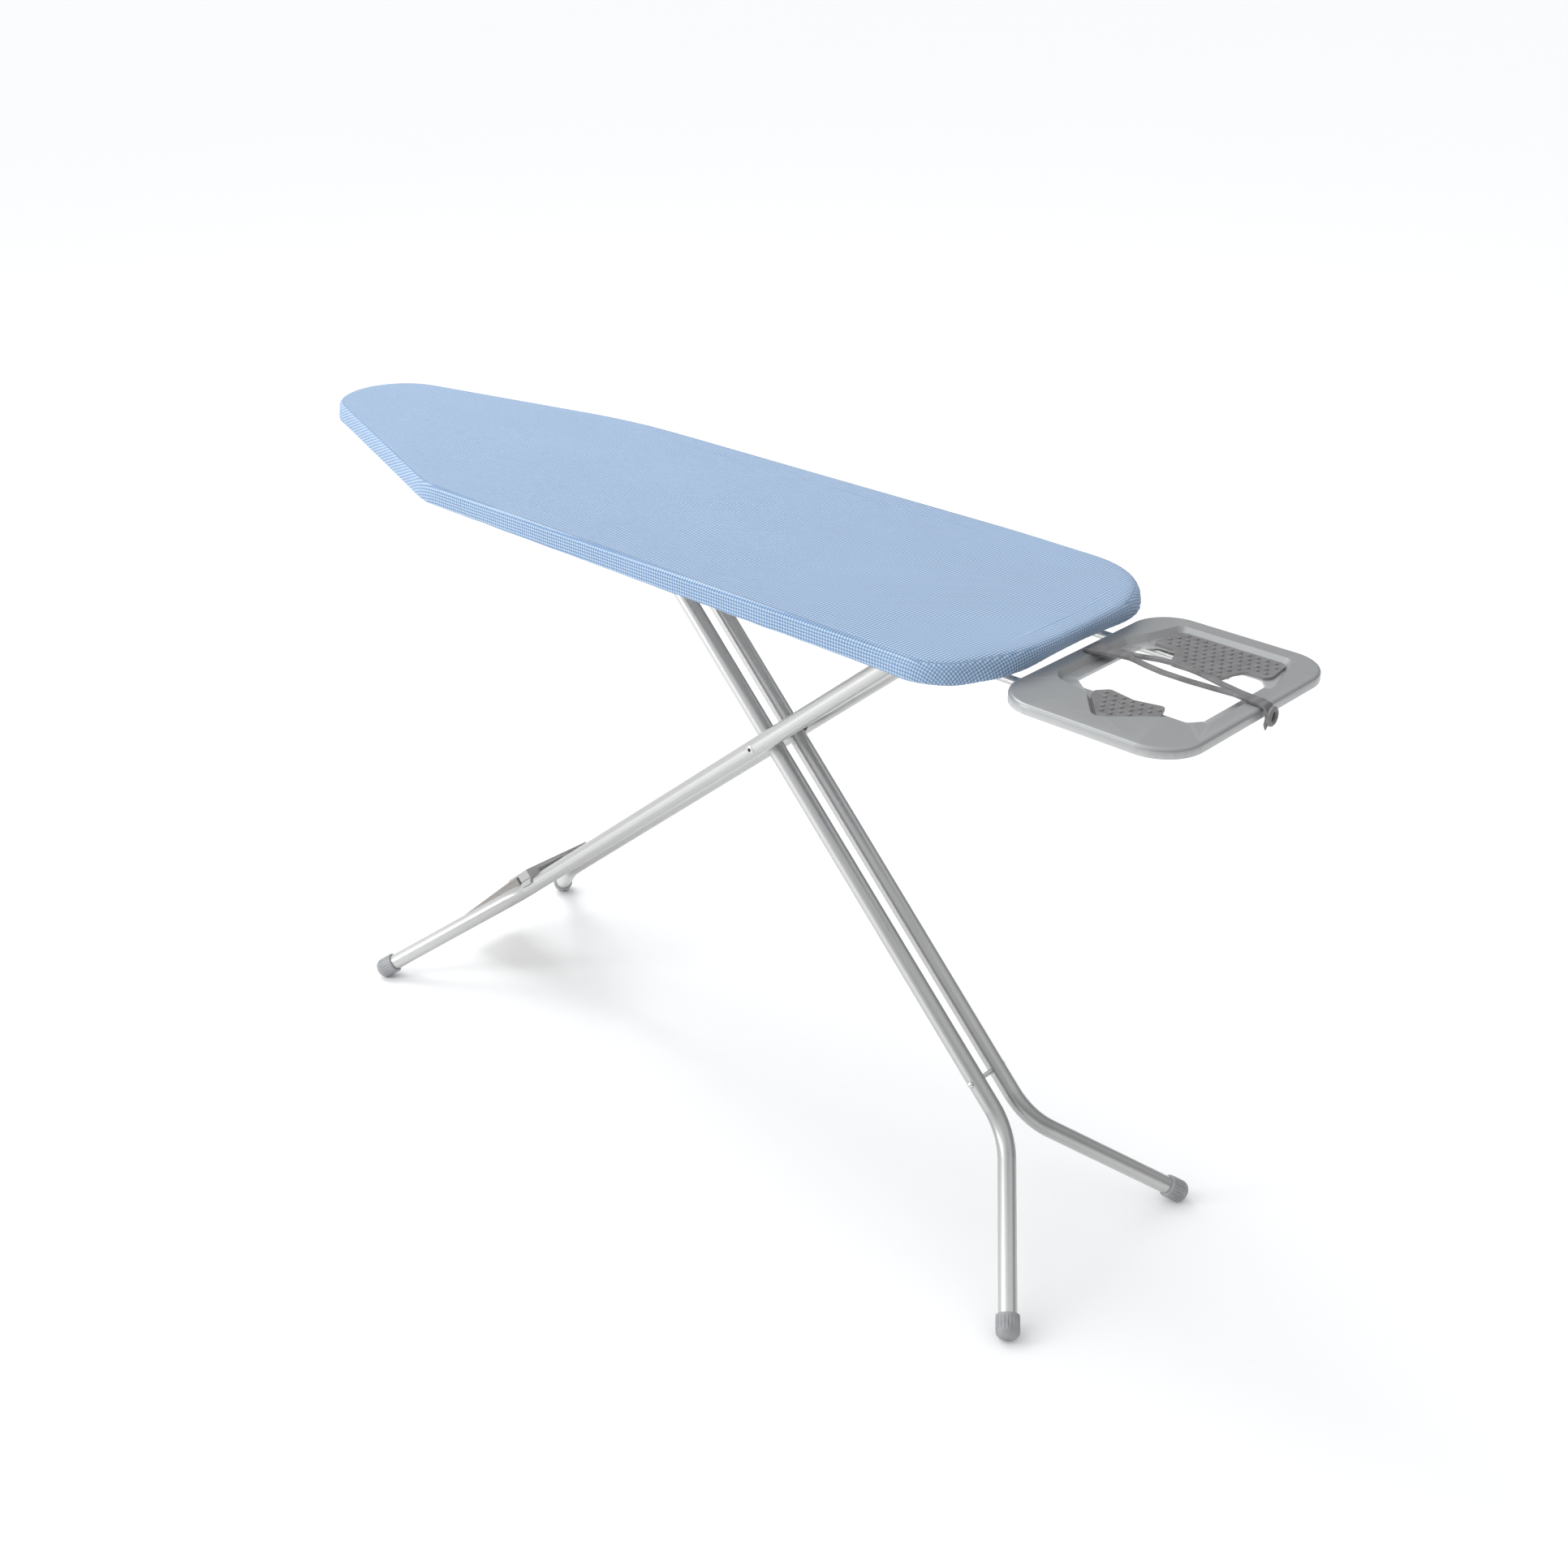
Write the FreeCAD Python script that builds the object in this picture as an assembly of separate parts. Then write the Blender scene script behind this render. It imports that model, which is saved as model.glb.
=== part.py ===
"""Folding ironing board with crossed tube legs and an iron rest.

Millimetres, +Z up. The board lies along X with its nose at -X and the iron rest at +X.
The origin is on the floor, under the middle of the whole object.
"""
import FreeCAD
import Part
import math
import os

V = FreeCAD.Vector
X_AXIS, Y_AXIS, Z_AXIS = V(1, 0, 0), V(0, 1, 0), V(0, 0, 1)

# ---- board ---------------------------------------------------------------
BOARD_TOP = 795.0          # top of the cover above the floor
BOARD_END = 495.9          # x of the wide end's reference line
BOARD_HALF = 190.0         # half width at the wide end
BOARD_TAPER = 0.0115       # half width lost per millimetre towards the nose
# corners of the cover's outline: x, y and the radius that rounds them
NOSE = (-928.2, 43.1, 80.4)
SHOULDER_FAR, SHOULDER_NEAR = (-344.0, 180.4, 700.0), (-347.5, -180.3, 150.0)
# wide end at the top edge and at the hem:
# bow x past BOARD_END, bow half width, bow's far and near radius, far corner radius
BOW_AT_TOP, BOW_AT_HEM = (24.0, 75.0, 200.0, 350.0, 120.0), (7.0, 118.0, 50.0, 60.0, 100.0)
CORNER_X, NEAR_CORNER_R = 24.0, 60.0       # corners' distance before BOARD_END, near corner radius
COVER_T = 1.2
COVER_DROP = 24.5          # height of the cover's skirt
COVER_TUCK = 27.0          # how far the hem turns in under the board
FOAM_T = 8.0
DECK_T = 0.8
RIM_T, RIM_FLANGE = 1.2, 20.0
PERFORATION = (30.0, 9.0)  # slot length and width in the deck sheet
PERFORATION_PITCH = (42.0, 22.0)

# ---- legs ----------------------------------------------------------------
PIVOT_X, PIVOT_Z = 90.9, 532.0
HINGE_Z = 755.0            # height of both upper leg joints at this setting
OUTER_TILT, INNER_TILT = 39.7, 45.6
TUBE_R, TUBE_WALL = 11.0, 1.2
OUTER_Y, INNER_Y = 46.9, 19.9
OUTER_FOOT_Y, INNER_FOOT_Y = 172.6, 173.2
OUTER_SPLAY, OUTER_BEND_R = 30.0, 85.0
INNER_SPLAY, INNER_BEND_R = 40.3, 94.0
TUBE_OVERRUN = 14.0        # tube beyond its upper joint
CAP_R, CAP_LENGTH, CAP_EDGE = 14.0, 19.0, 9.0
CAP_FLUTES = 20
AXLE_R, AXLE_BORE_R = 4.0, 2.4
HINGE_ROD_R = 5.0
RUNNING_GAP = 0.05
STEP_GAP = 0.2             # clearance between neighbouring flat pieces

# ---- height rack ---------------------------------------------------------
RACK_Y, RACK_T = 31.7, 2.0
RACK_SPAN = (-414.0, -118.0)       # along x, measured from the pivot
RACK_SLOT = (-404.0, -126.0)
RACK_BOTTOM = 737.0
SLIDER_R = 7.0
SLIDER_CLEAR = 4.5
RACK_NOTCHES = 7

# ---- iron rest -----------------------------------------------------------
REST_X, REST_TOP = 619.1, 768.0
REST_LENGTH, REST_WIDTH, REST_R = 220.0, 301.0, 47.0
REST_RIM, REST_SHEET, REST_EDGE_R = 11.0, 1.5, 4.0
TRAY_DEPTH, TRAY_SLOPE, LIP_DEPTH = 7.0, 5.0, 3.5
PAD_T, DOT_R, DOT_H, DOT_PITCH = 3.0, 3.1, 1.3, 10.6
ARM_Y, ARM_Z, ARM_R = 82.0, 751.8, 5.0
STRAP_T = 4.0

PIVOT = V(PIVOT_X, 0, PIVOT_Z)
COVER_BOTTOM = BOARD_TOP - COVER_DROP
FOAM_TOP = BOARD_TOP - COVER_T
DECK_TOP = FOAM_TOP - FOAM_T
DECK_BOTTOM = DECK_TOP - DECK_T
RIM_BOTTOM = COVER_BOTTOM + COVER_T + STEP_GAP
UPPER_DROP = HINGE_Z - PIVOT_Z
OUTER_UP = UPPER_DROP / math.sin(math.radians(OUTER_TILT))
INNER_UP = UPPER_DROP / math.sin(math.radians(INNER_TILT))
HINGE_X = PIVOT_X + OUTER_UP * math.cos(math.radians(OUTER_TILT))
SLIDE_X = PIVOT_X - INNER_UP * math.cos(math.radians(INNER_TILT))
TRAY_FLOOR = REST_TOP - TRAY_DEPTH
END_BEAM_X, HINGE_BEAM_X, NOSE_BEAM_X = REST_X - 226, HINGE_X - 46, PIVOT_X - 438

nodes = {}


# ---- shape helpers -------------------------------------------------------
def bar(a, b, radius, bore=0.0):
    """Round bar or sleeve from point a to point b."""
    a, b = V(*a), V(*b)
    axis = b - a
    solid = Part.makeCylinder(radius, axis.Length, a, axis)
    if bore:
        solid = solid.cut(Part.makeCylinder(bore, axis.Length, a, axis))
    return solid


def block(low, high):
    """Box between two corners."""
    low, high = V(*low), V(*high)
    size = high - low
    return Part.makeBox(size.x, size.y, size.z, low)


def rounded_wire(corners, z):
    """Closed wire through (x, y, radius) corners, each rounded by a tangent arc."""
    pts = [V(x, y, z) for x, y, _ in corners]
    radii = [r for _, _, r in corners]
    spans = []
    for i, here in enumerate(pts):
        before = (pts[i - 1] - here).normalize()
        after = (pts[(i + 1) % len(pts)] - here).normalize()
        half = before.getAngle(after) / 2
        if radii[i] < 0.01:
            spans.append((here, here, here))
            continue
        reach = radii[i] / math.tan(half)
        middle_way = (before + after).normalize()
        centre = here + middle_way * (radii[i] / math.sin(half))
        spans.append((here + before * reach, centre - middle_way * radii[i], here + after * reach))
    edges = []
    for i, (start, middle, end) in enumerate(spans):
        if (start - end).Length > 0.01:
            edges.append(Part.Arc(start, middle, end).toShape())
        nxt = spans[(i + 1) % len(spans)][0]
        if (nxt - end).Length > 0.01:
            edges.append(Part.LineSegment(end, nxt).toShape())
    return Part.Wire(edges)


def prism(wire, height, holes=()):
    """Solid from a flat wire, with optional hole wires, raised along Z."""
    return Part.makeFace([wire] + list(holes), "Part::FaceMakerBullseye").extrude(V(0, 0, height))


def inset(wire, distance):
    return wire.makeOffset2D(-distance)


def mirrored(shape):
    """The same shape on the other side of the board's middle plane."""
    return shape.mirror(V(0, 0, 0), Y_AXIS)


def fused(shapes):
    whole = shapes[0].multiFuse(shapes[1:])
    return whole.removeSplitter()


def both_sides(name, shape):
    """Store a near (-Y) piece and its far (+Y) twin."""
    nodes[name + "_near"] = shape
    nodes[name + "_far"] = mirrored(shape)


def on_leg(shape, turn):
    """Move a shape drawn with the pivot at the origin and the leg along +X onto its leg."""
    placed = shape.copy()
    placed.rotate(V(0, 0, 0), Y_AXIS, turn)
    placed.translate(PIVOT)
    return placed


# ---- board ---------------------------------------------------------------
def board_outline(z):
    """Cover's outline at height z: round nose, straight flanks, a bow that flattens towards the hem."""
    drop = (BOARD_TOP - z) / COVER_DROP
    bow_past, bow_y, far_r, near_r, corner_r = (a + (b - a) * drop for a, b in zip(BOW_AT_TOP, BOW_AT_HEM))
    corner_x, bow_x = BOARD_END - CORNER_X, BOARD_END + bow_past
    return rounded_wire([NOSE, SHOULDER_FAR,
                         (corner_x, BOARD_HALF, corner_r), (bow_x, bow_y, far_r),
                         (bow_x, -bow_y, near_r), (corner_x, -BOARD_HALF, NEAR_CORNER_R),
                         SHOULDER_NEAR], z)


def half_width(x):
    """Half width of the board at x, on its flanks or on the nose's narrower side."""
    flank = BOARD_HALF - BOARD_TAPER * (BOARD_END - x)
    slope = (NOSE[1] - SHOULDER_NEAR[1]) / (SHOULDER_NEAR[0] - NOSE[0])
    return min(flank, -SHOULDER_NEAR[1] - slope * (SHOULDER_NEAR[0] - x))


def layer(low, high, distance):
    """Solid between two heights, its sides a fixed distance inside the cover's."""
    ends = [inset(board_outline(z), distance) if distance else board_outline(z) for z in (low, high)]
    return Part.makeLoft(ends, True, True)


def make_cover():
    skin = layer(COVER_BOTTOM, BOARD_TOP, 0.0)
    hollow = layer(COVER_BOTTOM + COVER_T, FOAM_TOP, COVER_T)
    mouth = prism(inset(board_outline(COVER_BOTTOM), COVER_TUCK), COVER_T)
    return skin.cut(hollow).cut(mouth)


def make_deck():
    """Steel sheet with staggered slots."""
    outline = inset(board_outline(DECK_BOTTOM), COVER_T + STEP_GAP)
    safe = Part.Face(inset(board_outline(DECK_BOTTOM), 26.0))
    length, width = PERFORATION
    pitch_x, pitch_y = PERFORATION_PITCH
    holes = []
    rows = int(BOARD_HALF // pitch_y)
    for row in range(-rows, rows + 1):
        stagger = pitch_x / 2 if row % 2 else 0.0
        x = BOARD_END - 1180 + stagger
        while x < BOARD_END:
            y = row * pitch_y
            corners = [(x + i * length / 2, y + j * width / 2, width / 2 - 0.02)
                       for i, j in ((-1, -1), (1, -1), (1, 1), (-1, 1))]
            ends = [V(x + i * length / 2, y + j * width / 2, DECK_BOTTOM)
                    for i, j in ((-1, -1), (1, -1), (1, 1), (-1, 1))]
            if all(safe.isInside(p, 0.01, True) for p in ends):
                holes.append(rounded_wire(corners, DECK_BOTTOM))
            x += pitch_x
    return prism(outline, DECK_T, holes)


def build_rim():
    """Angle-section ring under the deck's edge, in a nose, two flanks and a wide end."""
    gap = COVER_T + STEP_GAP
    hollow = layer(RIM_BOTTOM + RIM_T, DECK_BOTTOM, gap + RIM_T)
    mouth = prism(inset(board_outline(RIM_BOTTOM), gap + RIM_FLANGE), RIM_T)
    ring = layer(RIM_BOTTOM, DECK_BOTTOM, gap).cut(hollow).cut(mouth)
    nose_x, end_x = BOARD_END - 830.0, BOARD_END - 80.0
    spans = {"rim_nose": (-900, nose_x, -300, 300), "rim_end": (end_x, 700, -300, 300),
             "rim_flank_near": (nose_x, end_x, -300, 0), "rim_flank_far": (nose_x, end_x, 0, 300)}
    for name, (x0, x1, y0, y1) in spans.items():
        nodes[name] = ring.common(block((x0, y0, RIM_BOTTOM - 1), (x1, y1, DECK_BOTTOM + 1)))


def make_cross_beam(x, breadth=24.0):
    """Hat-section beam across the board, standing on the rim's flanges."""
    reach = half_width(x - breadth / 2) - COVER_T - STEP_GAP - RIM_T - 2.0
    low = RIM_BOTTOM + RIM_T
    shell = block((x - breadth / 2, -reach, low), (x + breadth / 2, reach, DECK_BOTTOM))
    channel = block((x - breadth / 2 + 1.5, -reach, low), (x + breadth / 2 - 1.5, reach, DECK_BOTTOM - 1.5))
    return shell.cut(channel)


def make_hem_elastic():
    """Elastic cord in the hem, drawn as a flat ring."""
    outer = board_outline(COVER_BOTTOM - 1.6)
    return prism(inset(outer, COVER_TUCK - 7), 1.4, [inset(outer, COVER_TUCK - 2)])


def make_hinge_bracket():
    """Near hanging plate that carries the hinge rod, with a flange under the deck."""
    y = -(OUTER_Y + TUBE_R + 1.6)
    plate = block((HINGE_X - 20, y - 2.5, HINGE_Z - 14), (HINGE_X + 20, y, DECK_BOTTOM))
    flange = block((HINGE_X - 20, y - 20, DECK_BOTTOM - 2.5), (HINGE_X + 20, y, DECK_BOTTOM))
    hole = bar((HINGE_X, y - 3, HINGE_Z), (HINGE_X, y + 1, HINGE_Z), HINGE_ROD_R)
    whole = fused([plate, flange]).cut(hole)
    corners = [e for e in whole.Edges if abs(e.BoundBox.YLength - 2.5) < 0.01
               and e.BoundBox.ZLength < 0.01 and abs(e.BoundBox.ZMin - (HINGE_Z - 14)) < 0.01
               and e.BoundBox.XLength < 0.01]
    return whole.makeFillet(10.0, corners)


def make_rack():
    """Near rack plate: a long slot for the slider with locking notches above it."""
    y = -RACK_Y
    x0, x1 = (PIVOT_X + s for s in RACK_SPAN)
    s0, s1 = (PIVOT_X + s for s in RACK_SLOT)
    slot_r = SLIDER_R + SLIDER_CLEAR
    plate = block((x0, y - RACK_T, RACK_BOTTOM), (x1, y, DECK_BOTTOM))
    cuts = [block((s0 + slot_r, y - RACK_T, HINGE_Z - slot_r), (s1 - slot_r, y, HINGE_Z + slot_r))]
    for x in (s0 + slot_r, s1 - slot_r):
        cuts.append(bar((x, y - RACK_T, HINGE_Z), (x, y, HINGE_Z), slot_r))
    span = (s1 - SLIDER_R - 20) - (SLIDE_X - 30)
    for k in range(RACK_NOTCHES):
        x = SLIDE_X - 30 + k * span / (RACK_NOTCHES - 1)
        top = HINGE_Z + slot_r + 2
        cuts.append(bar((x, y - RACK_T, top), (x, y, top), SLIDER_R))
    slotted = plate.cut(cuts[0].multiFuse(cuts[1:]))
    flange = block((x0, y, DECK_BOTTOM - RACK_T), (x1, y + 14, DECK_BOTTOM))
    return fused([slotted, flange])


def make_rivets():
    """Domed rivets that hold brackets and racks to the deck, as one group."""
    spots = [(HINGE_X + dx, side * (OUTER_Y + TUBE_R + 12)) for dx in (-13, 13) for side in (-1, 1)]
    rack_x = [PIVOT_X + RACK_SPAN[0] + 12 + k * 89.0 for k in range(4)]
    spots += [(x, side * (RACK_Y - 8.5)) for x in rack_x for side in (-1, 1)]
    group = []
    for x, y in spots:
        low = DECK_BOTTOM - (2.5 if abs(y) > OUTER_Y else RACK_T)
        head = Part.makeSphere(6.0, V(x, y, low + 4.4))
        keep = Part.makeCylinder(4.2, 2.0, V(x, y, low - 2.0))
        group.append(head.common(keep))
    return Part.makeCompound(group)


# ---- tube legs -----------------------------------------------------------
def foot_reach(tilt, splay):
    """Distance down the leg's plane to the foot, and the foot centre's height."""
    sink = math.sin(math.radians(tilt)) * math.cos(math.radians(splay))
    height = CAP_EDGE + (CAP_R - CAP_EDGE) * math.sqrt(1 - sink * sink)
    return (PIVOT_Z - height) / math.sin(math.radians(tilt)), height


def tube_route(up, y, splay, bend_r, reach, foot_y, top=None):
    """Centre points of a near tube: top, bend start, bend middle, bend end, foot."""
    a = math.radians(splay)
    rise = bend_r * (1 - math.cos(a))
    run = (foot_y - y - rise) / math.tan(a)
    end_s = reach - run
    start_s = end_s - bend_r * math.sin(a)
    half = a / 2
    return [V(-up - TUBE_OVERRUN, -y, 0), V(start_s, -y, 0),
            V(start_s + bend_r * math.sin(half), -(y + bend_r * (1 - math.cos(half))), 0),
            V(end_s, -(y + rise), 0), V(reach, -foot_y, 0)]


def make_tube(route, holes):
    """Bent hollow tube along the route, cross-drilled at the given (s, radius) places."""
    top, start, middle, end, foot = route
    last = (foot - end).normalize()
    tube_end = foot - last * 2.0
    spine = Part.Wire([Part.LineSegment(top, start).toShape(), Part.Arc(start, middle, end).toShape(),
                       Part.LineSegment(end, tube_end).toShape()])

    def swept(radius):
        ring = Part.Wire(Part.makeCircle(radius, top, X_AXIS))
        return spine.makePipeShell([ring], True, True)

    tube = swept(TUBE_R).cut(swept(TUBE_R - TUBE_WALL))
    y = abs(top.y)
    for s, radius in holes:
        tube = tube.cut(bar((s, -y - 20, 0), (s, -y + 20, 0), radius))
    return tube


def make_cap(route):
    """Fluted rubber foot with a rounded end, over the tube's lower end."""
    end, foot = route[3], route[4]
    core = CAP_R - CAP_EDGE
    rim = [V(0, 0, CAP_LENGTH), V(CAP_R - 1.0, 0, CAP_LENGTH), V(CAP_R, 0, CAP_LENGTH - 1.0), V(CAP_R, 0, 0)]
    corner = V(core + CAP_EDGE * math.sin(math.pi / 4), 0, -CAP_EDGE * math.cos(math.pi / 4))
    tip = V(core, 0, -CAP_EDGE)
    edges = [Part.LineSegment(p, q).toShape() for p, q in zip(rim, rim[1:])]
    edges.append(Part.Arc(rim[-1], corner, tip).toShape())
    edges.append(Part.LineSegment(tip, V(0, 0, -CAP_EDGE)).toShape())
    edges.append(Part.LineSegment(V(0, 0, -CAP_EDGE), rim[0]).toShape())
    body = Part.Face(Part.Wire(edges)).revolve(V(0, 0, 0), Z_AXIS, 360)
    bore = bar((0, 0, 2.0), (0, 0, CAP_LENGTH), TUBE_R)
    grooves = []
    for k in range(CAP_FLUTES):
        turn = 2 * math.pi * k / CAP_FLUTES
        x, y = (CAP_R + 0.35) * math.cos(turn), (CAP_R + 0.35) * math.sin(turn)
        grooves.append(bar((x, y, 1.0), (x, y, CAP_LENGTH - 4.0), 0.95))
    cap = body.cut(bore).cut(Part.makeCompound(grooves))
    cap.Placement = FreeCAD.Placement(foot, FreeCAD.Rotation(Z_AXIS, end - foot))
    return cap


def make_plug(s, y):
    """Domed plastic plug in a tube's upper end."""
    stem = bar((s + 7.5, -y, 0), (s, -y, 0), TUBE_R - TUBE_WALL - 0.05)
    dome = Part.makeSphere(TUBE_R, V(s, -y, 0)).common(block((s - 5, -y - 12, -12), (s, -y + 12, 12)))
    return fused([stem, dome])


def build_outer_legs():
    turn = 180 - OUTER_TILT
    reach, _ = foot_reach(OUTER_TILT, OUTER_SPLAY)
    route = tube_route(OUTER_UP, OUTER_Y, OUTER_SPLAY, OUTER_BEND_R, reach, OUTER_FOOT_Y)
    holes = [(-OUTER_UP, HINGE_ROD_R + RUNNING_GAP), (0.0, AXLE_R)]
    both_sides("outer_tube", on_leg(make_tube(route, holes), turn))
    both_sides("outer_foot_cap", on_leg(make_cap(route), turn))
    both_sides("outer_tube_plug", on_leg(make_plug(-OUTER_UP - TUBE_OVERRUN, OUTER_Y), turn))
    inner_face = OUTER_Y - TUBE_R
    sleeve = bar((-OUTER_UP, -inner_face, 0), (-OUTER_UP, inner_face, 0), 9.0, HINGE_ROD_R + RUNNING_GAP)
    nodes["hinge_sleeve"] = on_leg(sleeve, turn)
    edge = OUTER_Y + TUBE_R
    axle = bar((0, -edge - 0.6, 0), (0, edge + 0.6, 0), AXLE_R, AXLE_BORE_R)
    heads = []
    for side in (-1, 1):
        y = side * edge
        cone = Part.makeCone(AXLE_R + 1.6, AXLE_BORE_R + 1.0, 1.2, V(0, y, 0), V(0, side, 0))
        heads.append(cone.cut(bar((0, y - 3, 0), (0, y + 3, 0), AXLE_BORE_R)))
    nodes["pivot_axle"] = on_leg(fused([axle] + heads), turn)
    gap_in, gap_out = INNER_Y + TUBE_R, OUTER_Y - TUBE_R
    washers = [bar((0, s * (gap_in + 0.3), 0), (0, s * gap_out, 0), 8.0, AXLE_R) for s in (-1, 1)]
    nodes["pivot_washers"] = on_leg(Part.makeCompound(washers), turn)
    nodes["leg_bridge"] = on_leg(make_leg_bridge(), turn)


def make_leg_bridge():
    """Arched plate clipped over both outer tubes above their bends, with a long apron below."""
    start, end, clip_end = 545.0, 597.0, 571.0
    sheet, rise = 2.5, 12.0
    top = -(TUBE_R + rise)                      # local -Z is the leg's upper side
    apron_length, apron_half, apron_fall = 178.0, 44.0, 7.0
    arch = block((start, -OUTER_Y - 9, top), (end, OUTER_Y + 9, top + sheet))
    lower_wall = block((end - sheet, -apron_half, top), (end, apron_half, -TUBE_R))
    outline = rounded_wire([(0, -apron_half, 0), (0, apron_half, 0), (apron_length, apron_half, 14),
                            (apron_length, -apron_half, 14)], 0)
    apron = prism(outline, sheet)
    apron.rotate(V(0, 0, 0), Y_AXIS, -math.degrees(math.atan2(apron_fall, apron_length)))
    apron.translate(V(end - 0.5, 0, top))
    pieces = [arch, lower_wall, apron]
    for side in (-1, 1):
        y = side * OUTER_Y
        saddle = bar((start, y, 0), (clip_end, y, 0), TUBE_R + 2.4)
        upper = block((start, y - 16, -30), (clip_end, y + 16, -3))
        riser = block((start, y - 9, top), (clip_end, y + 9, -TUBE_R))
        clip = fused([saddle.common(upper), riser])
        pieces.append(clip.cut(bar((start - 20, y, 0), (clip_end + 20, y, 0), TUBE_R + 0.02)))
    return fused(pieces)


def build_inner_legs():
    turn = INNER_TILT
    reach, _ = foot_reach(INNER_TILT, INNER_SPLAY)
    route = tube_route(INNER_UP, INNER_Y, INNER_SPLAY, INNER_BEND_R, reach, INNER_FOOT_Y)
    brace_s, brace_r = 476.0, 3.0
    holes = [(-INNER_UP, HINGE_ROD_R), (0.0, AXLE_R + RUNNING_GAP), (brace_s, brace_r)]
    both_sides("inner_tube", on_leg(make_tube(route, holes), turn))
    both_sides("inner_foot_cap", on_leg(make_cap(route), turn))
    both_sides("inner_tube_plug", on_leg(make_plug(-INNER_UP - TUBE_OVERRUN, INNER_Y), turn))
    inside = INNER_Y - TUBE_R
    sleeve = bar((0, -inside, 0), (0, inside, 0), 8.0, AXLE_R + RUNNING_GAP)
    nodes["pivot_sleeve"] = on_leg(sleeve, turn)
    rod_end = RACK_Y + RACK_T + 1.4
    nodes["slide_rod"] = on_leg(bar((-INNER_UP, -rod_end, 0), (-INNER_UP, rod_end, 0), HINGE_ROD_R), turn)
    spacer = bar((-INNER_UP, -inside, 0), (-INNER_UP, inside, 0), 8.0, HINGE_ROD_R)
    nodes["slide_rod_sleeve"] = on_leg(spacer, turn)
    start = INNER_Y + TUBE_R
    rollers = [bar((-INNER_UP, s * start, 0), (-INNER_UP, s * rod_end, 0), SLIDER_R, HINGE_ROD_R)
               for s in (-1, 1)]
    nodes["slide_rollers"] = on_leg(Part.makeCompound(rollers), turn)
    edge = INNER_Y + TUBE_R
    brace = bar((brace_s, -edge, 0), (brace_s, edge, 0), brace_r)
    heads = []
    for side in (-1, 1):
        y0, y1 = sorted((side * edge, side * (edge + 4)))
        ball = Part.makeSphere(5.0, V(brace_s, side * (edge - 2.0), 0))
        heads.append(ball.common(block((brace_s - 6, y0, -6), (brace_s + 6, y1, 6))))
    nodes["leg_brace_rod"] = on_leg(fused([brace] + heads), turn)


# ---- iron rest -----------------------------------------------------------
def tray_outline(z, shrink=0.0):
    """Iron-shaped recess: wide heel end on the far side, pointed end on the near side."""
    x = REST_X
    corners = [(x - 66, 129, 10), (x + 69, 129, 12), (x + 76, 112, 14), (x + 91, 62, 16), (x + 91, -62, 16),
               (x + 78, -78, 12), (x + 50, -80, 12), (x - 2, -128, 12), (x - 40, -84, 10), (x - 82, -74, 14),
               (x - 92, -58, 12), (x - 92, 60, 12), (x - 80, 84, 12)]
    wire = rounded_wire(corners, z)
    return inset(wire, shrink) if shrink else wire


def opening_outline(z):
    """Hole through the tray floor, partly roofed by the pads."""
    x = REST_X
    return rounded_wire([(x - 74, -50, 7), (x - 56, -64, 7), (x + 66, -64, 9), (x + 77, -50, 9),
                         (x + 77, 64, 9), (x + 62, 80, 9), (x - 60, 80, 9), (x - 74, 66, 7)], z)


def make_rest_tray():
    half_l, half_w = REST_LENGTH / 2, REST_WIDTH / 2
    corners = [(REST_X + i * half_l, j * half_w, REST_R) for i, j in ((-1, -1), (1, -1), (1, 1), (-1, 1))]
    low = REST_TOP - REST_RIM
    outer = rounded_wire(corners, low)
    body = prism(outer, REST_RIM)
    top_edges = [e for e in body.Edges if e.BoundBox.ZMin > REST_TOP - 0.01]
    body = body.makeFillet(REST_EDGE_R, top_edges)
    hollow = prism(inset(outer, REST_SHEET), REST_RIM - REST_SHEET)
    shell = body.cut(hollow)
    under = TRAY_FLOOR - REST_SHEET
    tub_ends = [tray_outline(REST_TOP - 0.5, -REST_SHEET), tray_outline(under, TRAY_SLOPE - REST_SHEET)]
    tub = Part.makeLoft(tub_ends, True, True)
    bowl = Part.makeLoft([tray_outline(REST_TOP), tray_outline(TRAY_FLOOR, TRAY_SLOPE)], True, True)
    lip = prism(opening_outline(TRAY_FLOOR - LIP_DEPTH), LIP_DEPTH)
    lip_outer = prism(inset(opening_outline(TRAY_FLOOR - LIP_DEPTH), -REST_SHEET), LIP_DEPTH)
    return shell.fuse(tub).fuse(lip_outer).cut(bowl).cut(lip).removeSplitter()


def dotted_pad(outline, dots):
    """Silicone pad on the tray floor with raised round dots."""
    pad = prism(outline, PAD_T)
    top = TRAY_FLOOR + PAD_T
    pad_face = Part.Face(inset(outline, DOT_R + 0.8))
    studs = []
    for x, y in dots:
        if pad_face.isInside(V(x, y, outline.BoundBox.ZMin), 0.01, True):
            studs.append(Part.makeCone(DOT_R, DOT_R - 0.9, DOT_H + 0.2, V(x, y, top - 0.2)))
    return pad.multiFuse(studs).removeSplitter()


def dot_grid(x_range, y_start, rows, columns_shift):
    """Staggered dot centres, row by row."""
    spots = []
    for row in range(rows):
        x = x_range[0] + (DOT_PITCH / 2 if (row + columns_shift) % 2 else 0.0)
        while x < x_range[1]:
            spots.append((x, y_start + row * DOT_PITCH * 0.9))
            x += DOT_PITCH
    return spots


def make_pad_far():
    x = REST_X
    outline = rounded_wire([(x - 67, 76, 6), (x - 38, 74, 6), (x - 32, 64, 4), (x - 24, 42, 8),
                            (x + 36, 42, 8), (x + 40, 64, 4), (x + 46, 76, 6), (x + 74, 76, 10),
                            (x + 69, 117, 8), (x + 63, 122, 5), (x - 57, 122, 5),
                            (x - 63, 108, 5)], TRAY_FLOOR)
    return dotted_pad(outline, dot_grid((x - 64, x + 74), 48.0, 9, 0))


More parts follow.
